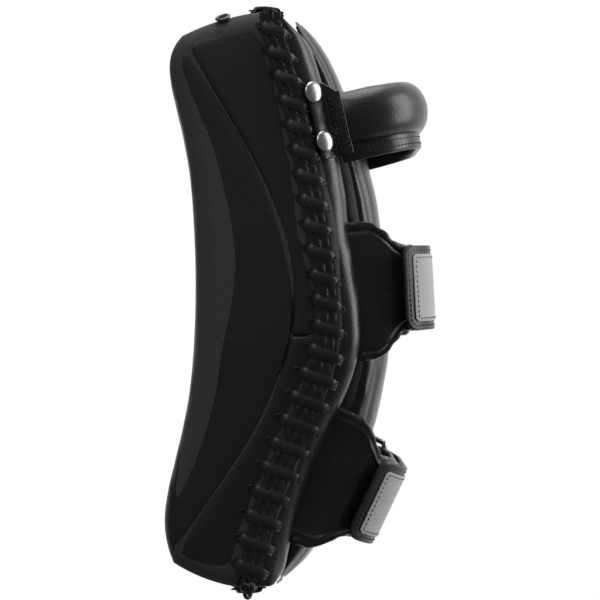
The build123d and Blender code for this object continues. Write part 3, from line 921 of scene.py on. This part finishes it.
rivets = []
for points in islands("rivet_posts"):
    middle, axes, _ = axes_of(points)
    outward = axes[0] if axes[0].y * middle.y > 0 else -axes[0]
    across = Vector((0, 0, 1)).cross(outward).normalized()
    top = middle + outward * max((Vector(p) - middle).dot(outward) for p in points)
    rivets.append(matrix_of(across, outward.cross(across), outward, top))


def rivet_dome(bm):
    """Low dome with a turned edge."""
    bmesh.ops.create_uvsphere(bm, u_segments=28, v_segments=18, radius=1.0)
    geom = bm.verts[:] + bm.edges[:] + bm.faces[:]
    cut = bmesh.ops.bisect_plane(bm, geom=geom, plane_co=(0, 0, -0.1), plane_no=(0, 0, 1), clear_inner=True)
    rim = [g for g in cut["geom_cut"] if isinstance(g, bmesh.types.BMEdge)]
    bmesh.ops.holes_fill(bm, edges=rim)
    bmesh.ops.scale(bm, vec=(7.4 * MM, 7.4 * MM, 2.4 * MM), verts=bm.verts)


caps = scatter("rivet_domes", rivet_dome, rivets, chrome)
belongs(caps, "root", "chrome", "rivet_caps")

# ------------------------------------------------------------------ handle
near_rivets = sorted((m.translation for m in rivets if m.translation.y < 0), key=lambda p: p.z)
handle_up = (near_rivets[1] - near_rivets[0])
handle_up.y = 0
handle_up.normalize()
handle_out = Vector((handle_up.z, 0, -handle_up.x))
core = coords(nodes["handle_core"].data)
core_out = core @ np.array(handle_out)
core_up = core @ np.array(handle_up)
roll_half, roll_tall = 12.5 * MM, 19 * MM
skin_room = 2.3 * MM
start_out = core_out.min() - 6 * MM
reach_out = core_out.max() - (roll_half - skin_room)
level = (core_up.max() + core_up.min()) / 2
half_span = core[:, 1].max() - (roll_half - skin_room)
handle_bend = 44 * MM


def handle_spot(out, y, up=0.0):
    return handle_out * out + Vector((0, y, 0)) + handle_up * (level + up)


def handle_line(steps=15):
    """Middle line of the handle from the near side to the far side."""
    corner = reach_out - handle_bend
    line = []
    for i in range(7):
        out = start_out + (corner - start_out) * i / 7
        line.append((out, -half_span))
    for i in range(steps + 1):
        turn = pi / 2 * i / steps
        line.append((corner + handle_bend * sin(turn), -half_span + handle_bend * (1 - cos(turn))))
    straight = half_span - handle_bend
    for i in range(1, 12):
        line.append((reach_out, -straight + 2 * straight * i / 12))
    return line + [(out, -y) for out, y in reversed(line[:7 + steps + 1])]


def sweep_section(name, outline, material):
    """Extrudes a closed outline of (across, up) points along the handle."""
    line = handle_line()
    bm = bmesh.new()
    ring = [bm.verts.new((0, 0, 0)) for _ in outline(0.0, 0)]
    edges = [bm.edges.new((ring[i - 1], ring[i])) for i in range(len(ring))]
    edges = edges[1:] + edges[:1]
    travelled = 0.0
    for i, (out, y) in enumerate(line):
        ahead = line[min(i + 1, len(line) - 1)]
        behind = line[max(i - 1, 0)]
        along = (Vector((ahead[0], ahead[1])) - Vector((behind[0], behind[1]))).normalized()
        if i:
            travelled += (Vector(line[i]) - Vector(line[i - 1])).length
            made = bmesh.ops.extrude_edge_only(bm, edges=edges)["geom"]
            ring = [g for g in made if isinstance(g, bmesh.types.BMVert)]
            edges = [g for g in made if isinstance(g, bmesh.types.BMEdge)]
        outward = handle_out * -along.y + Vector((0, along.x, 0))
        for vert, (across, up) in zip(ring, outline(travelled, i)):
            vert.co = handle_spot(out, y, up) - outward * across
    bmesh.ops.holes_fill(bm, edges=bm.edges)
    bmesh.ops.recalc_face_normals(bm, faces=bm.faces)
    return as_object(name, bm, material, 60.0)


def roll_outline(travelled, i):
    """Oval of the padded roll, drawn in a little where the leather creases."""
    points = []
    for k in range(40):
        turn = 2 * pi * k / 40
        crease = 0.35 * MM * noise(Vector((travelled * 130, cos(turn) * 1.6, sin(turn) * 1.6)))
        low = 1.5 * MM * max(0.0, -sin(turn)) ** 4
        points.append(((roll_half + crease) * cos(turn) * (1 - 0.12 * max(0.0, -sin(turn))),
                       (roll_tall + crease) * sin(turn) + low))
    return points


def flange_outline(travelled, i):
    """Two layers of leather sewn together below the roll."""
    top, low, half = -roll_tall + 3.5 * MM, -roll_tall - 9.5 * MM, 1.9 * MM
    wave = 0.5 * MM * noise(Vector((travelled * 60, 3.1, 0)))
    return [
        (half + 0.9 * MM, top), (half + wave, top - 4 * MM),
        (half + wave, low + 1.2 * MM), (0.6 * MM + wave, low),
        (-0.6 * MM + wave, low), (-half + wave, low + 1.2 * MM),
        (-half + wave, top - 4 * MM), (-half - 0.9 * MM, top),
    ]


roll = sweep_section("handle_roll", roll_outline, back_leather)
baked(roll, ("SUBSURF", {"levels": 1, "render_levels": 1}))
belongs(roll, "root", "back_leather", "handle_cover")
flange = sweep_section("handle_flange", flange_outline, back_leather)
baked(flange, ("SUBSURF", {"levels": 1, "render_levels": 1}))
belongs(flange, "root", "back_leather")
nodes["handle_core"].data.materials.clear()
nodes["handle_core"].data.materials.append(foam)

flange_rows = []
for side in (1, -1):
    for drop in (1.2 * MM, 5.6 * MM):
        row = []
        line = handle_line(30)
        for i, (out, y) in enumerate(line):
            ahead, behind = line[min(i + 1, len(line) - 1)], line[max(i - 1, 0)]
            along = (Vector(ahead) - Vector(behind)).normalized()
            outward = (handle_out * -along.y + Vector((0, along.x, 0))) * -side
            row.append((handle_spot(out, y, -roll_tall - drop) + outward * 1.95 * MM, outward))
        flange_rows += stitch_places(row, 0.1 * MM)
made = scatter("handle_stitches", thread_stitch, flange_rows, thread)
belongs(made, "root", "back_leather")

for side in ("near", "far"):
    node = side + "_handle_tab"
    tab = even_copy(node + "_leather", (node,), 1.1 * MM, back_leather, 2)
    wrinkled(tab, 0.5 * MM, 9 * MM, 2.0)
    co = coords(tab.data)
    out, up = co @ np.array(handle_out), co @ np.array(handle_up) - level
    on_roll = np.clip((out - start_out + 2 * MM) / (12 * MM), 0, 1)
    shift = -np.clip(up, 0, None) * 0.30 * on_roll
    co += shift[:, None] * np.array(handle_up) - (on_roll * 5 * MM)[:, None] * np.array(handle_out)
    set_coords(tab.data, co)
    belongs(tab, "root", "back_leather", node)

tab_rows = []
for side, node in ((NEAR, "near_handle_tab"), (FAR, "far_handle_tab")):
    tab_end = (coords(nodes[node].data) @ np.array(handle_out)).max()
    outside = side * (half_span + roll_half + 3.4 * MM)
    for inset in (7.4 * MM, 13.0 * MM):
        row = [
            (handle_spot(tab_end - inset, outside, up * MM), Vector((0, side, 0)))
            for up in range(-21, 17, 2)
        ]
        tab_rows += stitch_places(row, 0.1 * MM)
made = scatter("handle_tab_stitches", thread_stitch, tab_rows, thread)
belongs(made, "root", "back_leather")

# ------------------------------------------------------------------ forearm straps
bar_turn = radians(38.0)
bar_radius = 39.2 * MM
shoulder = 34.0 * MM
strap_half = 29.0 * MM
band = 2.4 * MM
inner_low = 0.3 * MM
flap_low = 7.7 * MM
quarter = shoulder * pi / 2


class Loop:
    """Bends flat pieces round a forearm strap: s runs from the near side over the middle to the far one."""

    def __init__(self, strap):
        peel = next(j for j in frame["joints"] if j["name"] == strap + "_strap_peel")
        self.along = Vector(peel["axis"])
        self.out = Vector((self.along.z, 0, -self.along.x))
        self.bar = Vector(peel["pos_m"])
        self.centre = self.bar - self.out * bar_radius * cos(bar_turn)
        self.centre.y -= bar_radius * sin(bar_turn)
        self.flat = self.centre.y

    def spot(self, s, w, h):
        side = 1 if s > 0 else -1
        far = abs(s) - self.flat
        centre = Vector((self.centre.x, 0, self.centre.z))
        if far <= 0:
            place = centre + self.out * (shoulder + h) + Vector((0, s, 0))
        else:
            turn = min(far / shoulder, pi / 2)
            drop = max(0.0, far - quarter)
            place = centre + self.out * ((shoulder + h) * cos(turn) - drop)
            place.y = side * (self.flat + (shoulder + h) * sin(turn))
        return place + self.along * w

    def outward(self, s):
        return (self.spot(s, 0, MM) - self.spot(s, 0, 0)).normalized()

    def bend(self, bm, verts=None):
        for vert in verts or bm.verts:
            vert.co = self.spot(vert.co.x, vert.co.y, vert.co.z)


def flat_plate(bm, x0, x1, half, low, high, corner=0.0, cells=2.0 * MM):
    """Flat band with rounded corners at its x0 end, cut into even cells."""
    nx, ny = max(2, int((x1 - x0) / cells)), max(2, int(2 * half / cells))
    made = bmesh.ops.create_grid(bm, x_segments=nx, y_segments=ny, size=0.5)["verts"]
    for vert in made:
        x, y = x0 + (vert.co.x + 0.5) * (x1 - x0), vert.co.y * 2 * half
        inset = x - x0
        if corner and inset < corner:
            limit = half - corner + (corner ** 2 - (corner - inset) ** 2) ** 0.5
            y *= limit / half
        vert.co = (x, y, high)
    faces = list({f for v in made for f in v.link_faces})
    bmesh.ops.recalc_face_normals(bm, faces=faces)
    if faces[0].normal.z < 0:
        bmesh.ops.reverse_faces(bm, faces=faces)
    bmesh.ops.solidify(bm, geom=faces, thickness=high - low)
    rim = [e for e in bm.edges if e.calc_face_angle(0) > radians(60)]
    bmesh.ops.bevel(bm, geom=rim, offset=(high - low) * 0.28, offset_type="OFFSET", segments=2, profile=0.5,
                    affect="EDGES", material=-1)
    bmesh.ops.recalc_face_normals(bm, faces=bm.faces)


def strap_piece(name, loop, x0, x1, half, low, high, material, corner=0.0, wave=0.0, seed=0.0):
    bm = bmesh.new()
    flat_plate(bm, x0, x1, half, low, high, corner)
    for vert in bm.verts:
        vert.co.z += wave * noise(Vector((vert.co.x * 38, vert.co.y * 30, seed)))
    loop.bend(bm)
    return as_object(name, bm, material, 50.0)


def border_rows(loop, x0, x1, half, corner, h, margin=3.2 * MM, both_ends=False):
    """Stitches round the edge of a strap or patch."""
    inner = half - margin
    bend = max(corner - margin, 1.5 * MM)
    flat = [(x1, inner)]
    for i in range(9):
        turn = pi / 2 * i / 8
        flat.append((x0 + margin + bend - bend * sin(turn), inner - bend + bend * cos(turn)))
    flat += [(x, -y) for x, y in reversed(flat)]
    if both_ends:
        flat.append(flat[0])
    dense = []
    for (ax, ay), (bx, by) in zip(flat, flat[1:]):
        count = max(1, int(((bx - ax) ** 2 + (by - ay) ** 2) ** 0.5 / (2 * MM)))
        for k in range(count):
            dense.append((ax + (bx - ax) * k / count, ay + (by - ay) * k / count))
    dense.append(flat[-1])
    return stitch_places([(loop.spot(x, y, h), loop.outward(x)) for x, y in dense], 0.05 * MM)


def cuff_half(u):
    """Half width of a cuff at a height over the cushion: wide at its foot, narrow at the strap."""
    share = min(1.0, max(0.0, (u + 10 * MM) / (27 * MM)))
    share = share * share * (3 - 2 * share)
    return 48.5 * MM + (30 * MM - 48.5 * MM) * share


def cuff_piece(name, loop, s_edge, s_foot, material, seed):
    """Padded cuff: a pillow with rolled edges, bent round the loop's shoulder."""
    bm = bmesh.new()
    bmesh.ops.create_grid(bm, x_segments=26, y_segments=28, size=0.5)
    for vert in bm.verts:
        s = s_edge + (vert.co.x + 0.5) * (s_foot - s_edge)
        height = (loop.spot(s, 0, 0) - loop.spot(loop.flat, 0, 0)).dot(loop.out) + 23.5 * MM
        vert.co = (s, vert.co.y * 2 * cuff_half(height), -0.6 * MM)
    for face in bm.faces:
        face.normal_update()
    if bm.faces[:][0].normal.z < 0:
        bmesh.ops.reverse_faces(bm, faces=bm.faces)
    bmesh.ops.solidify(bm, geom=bm.faces[:], thickness=6.8 * MM)
    loop.bend(bm)
    bmesh.ops.recalc_face_normals(bm, faces=bm.faces)
    made = as_object(name, bm, material, 80.0)
    return baked(made, ("SUBSURF", {"levels": 1, "render_levels": 1}))


straps = {}
cuffs = []
for strap in ("upper", "lower"):
    loop = Loop(strap)
    straps[strap] = loop
    foot = loop.flat + quarter + 22 * MM
    near = cuff_piece(strap + "_near_cuff", loop, -30 * MM, -foot, cuff_leather, 1.0)
    start = loop.flat + quarter * (90 - 8) / 90
    far = cuff_piece(strap + "_far_cuff", loop, start, foot, cuff_leather, 2.0)
    cuffs += [(near, 0.4 * MM, 2.4 * MM, 2), (far, 0.4 * MM, 1.4 * MM, 2)]
swelled(cuffs)
for made, *_ in cuffs:
    baked(made, ("SUBSURF", {"levels": 1, "render_levels": 1}))

for strap, loop in straps.items():
    flap_body, ring_body = strap + "_flap_body", strap + "_ring_body"

    def rim_distance(co, loop=loop):
        """Distance of a point from the cuff's edge, along the pad's length."""
        local = co - np.array(loop.centre)
        w = np.abs(local @ np.array(loop.along))
        u = local @ np.array(loop.out) + 23.5 * MM - shoulder
        return np.array([cuff_half(v) for v in u]) - w

    for side in ("near", "far"):
        made = bpy.data.objects[f"{strap}_{side}_cuff"]
        co = coords(made.data)
        groove = 1.1 * MM * np.exp(-(((rim_distance(co) - 7.5 * MM) / (1.5 * MM)) ** 2))
        set_coords(made.data, co - normals(made.data) * groove[:, None])
        wrinkled(made, 1.5 * MM, 7 * MM, 4.0, lambda c: np.exp(-((rim_distance(c) / (7 * MM)) ** 2)))
        wrinkled(made, 0.9 * MM, 24 * MM, 6.0)
        layers = [f"{strap}_{side}_cuff_{layer}" for layer in ("leather", "foam", "lining")]
        belongs(made, "root", "back_leather", *layers)

    bar_s = loop.flat + shoulder * bar_turn
    flap_end = -(loop.flat + shoulder * radians(90 - 32))
    flap = strap_piece(strap + "_closure_strap_band", loop, flap_end, bar_s, strap_half, flap_low, flap_low + band,
                       cuff_leather, 8 * MM, 0.5 * MM, 1.0)
    belongs(flap, flap_body, "back_leather", strap + "_closure_strap")
    rows = border_rows(loop, flap_end, bar_s, strap_half, 8 * MM, flap_low + band + 0.1 * MM)
    made = scatter(strap + "_closure_stitches", thread_stitch, rows, thread)
    belongs(made, flap_body, "back_leather")
    patch_end = -(loop.flat + shoulder * radians(90 - 42))
    top = flap_low + band + 0.2 * MM
    patch = strap_piece(strap + "_satin_patch", loop, patch_end, -22 * MM, 23 * MM, top, top + 0.8 * MM,
                        satin, 2 * MM, 0.2 * MM, 1.0)
    belongs(patch, flap_body, "satin_patch", strap + "_end_patch")
    rows = border_rows(loop, patch_end, -22 * MM - 2.4 * MM, 23 * MM, 2 * MM, top + 0.85 * MM, 2.2 * MM, True)
    made = scatter(strap + "_patch_stitches", thread_stitch, rows, thread)
    belongs(made, flap_body, "satin_patch")
    hook_end = -(loop.flat + shoulder * radians(90 - 36))
    hook = strap_piece(strap + "_hook_tape", loop, hook_end, -8 * MM, strap_half - 0.3 * MM,
                       flap_low - 2.2 * MM, flap_low - 0.2 * MM,
                       tape, 4 * MM, 0.25 * MM, 3.0)
    belongs(hook, flap_body, "hook_and_loop", strap + "_hook_patch")
    loop_end = -(loop.flat + shoulder * radians(90 - 56))
    fuzz = strap_piece(strap + "_loop_tape", loop, loop_end, -22 * MM, strap_half - 0.3 * MM, 3.0 * MM, 5.0 * MM,
                       tape, 4 * MM, 0.25 * MM, 5.0)
    belongs(fuzz, "root", "hook_and_loop", strap + "_loop_patch")

    # fold of the closure strap round the ring's bar
    bm = bmesh.new()
    radial = (loop.bar - loop.centre).normalized()
    cut = 26
    line = bmesh.ops.create_grid(bm, x_segments=1, y_segments=cut, size=0.5)["verts"]
    for vert in line:
        reach = 2.5 * MM + (vert.co.x + 0.5) * band
        vert.co = loop.bar - radial * reach + loop.along * (vert.co.y * 2 * strap_half)
    bmesh.ops.spin(bm, geom=bm.verts[:] + bm.edges[:] + bm.faces[:], axis=loop.along, cent=loop.bar,
                   steps=14, angle=-pi)
    bmesh.ops.remove_doubles(bm, verts=bm.verts, dist=0.02 * MM)
    bmesh.ops.recalc_face_normals(bm, faces=bm.faces)
    fold = as_object(strap + "_closure_fold", bm, cuff_leather, 50.0)
    loop.bar - radial * 3 * MM
    loop.bar + radial * 3 * MM
    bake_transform(fold)

    inner_start = -(loop.flat + shoulder * radians(90 - 50))
    inner = strap_piece(strap + "_inner_strap_band", loop, inner_start, bar_s - 0.2 * MM, strap_half,
                        inner_low, inner_low + band, cuff_leather, 0.0, 0.3 * MM, 2.0)
    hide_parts(strap + "_inner_strap")
    loop.spot(bar_s - 26 * MM, 0, 0)
    loop.spot(bar_s, 0, 0)
    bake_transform(inner)

    tab = even_copy(strap + "_ring_tab_leather", (strap + "_ring_tab",), 1.0 * MM, cuff_leather, 2)
    belongs(tab, "root", "back_leather", strap + "_ring_tab")
    ring = nodes[strap + "_ring"]
    ring.data.materials.clear()
    ring.data.materials.append(chrome)

# ------------------------------------------------------------------ light and camera
scene.view_settings.view_transform = "Standard"
world = scene.world or bpy.data.worlds.new("studio")
scene.world = world
world.use_nodes = True
studio = Surround(world)
seen_from = studio.node("ShaderNodeTexCoord")
towards = [studio.node("ShaderNodeSeparateXYZ", None, seen_from, out=k) for k in range(3)]
side_on = towards[0] * 0.40 + towards[1] * 0.80 + towards[2] * 0.12
share = studio.node("ShaderNodeMapRange", {"interpolation_type": "SMOOTHSTEP"}, side_on, -0.05, 0.75)
seen = studio.node("ShaderNodeLightPath")
lit = studio.either(share, studio.background(0.13), studio.background(0.95))
surface = studio.tree.nodes["World Output"].inputs["Surface"]
studio.tree.links.new(studio.either(seen, lit, studio.background(1.0)).socket, surface)


def softbox(name, place, target, size, power):
    lamp = bpy.data.lights.new(name, "AREA")
    lamp.shape = "RECTANGLE"
    lamp.size, lamp.size_y = size
    lamp.energy = power
    made = bpy.data.objects.new(name, lamp)
    scene.collection.objects.link(made)
    made.location = place
    made.rotation_euler = (Vector(target) - Vector(place)).to_track_quat("-Z", "Y").to_euler()
    return made


softbox("back_light", (1.1, -0.1, 0.35), (-0.03, 0, 0), (0.5, 1.3), 9)
softbox("key_light", (-0.7, -1.3, 1.3), (-0.06, 0, 0), (0.9, 0.9), 7)
softbox("top_light", (0.0, 0.0, 1.3), (-0.06, 0, 0), (1.0, 0.8), 9)

camera = bpy.data.objects.new("camera", bpy.data.cameras.new("camera"))
scene.collection.objects.link(camera)
camera.location = (-0.059, -1.49, 0.0)
camera.rotation_euler = (pi / 2, 0, 0)
camera.data.sensor_width = 36.0
camera.data.lens = 124.5
camera.data.clip_start = 0.01
scene.camera = camera
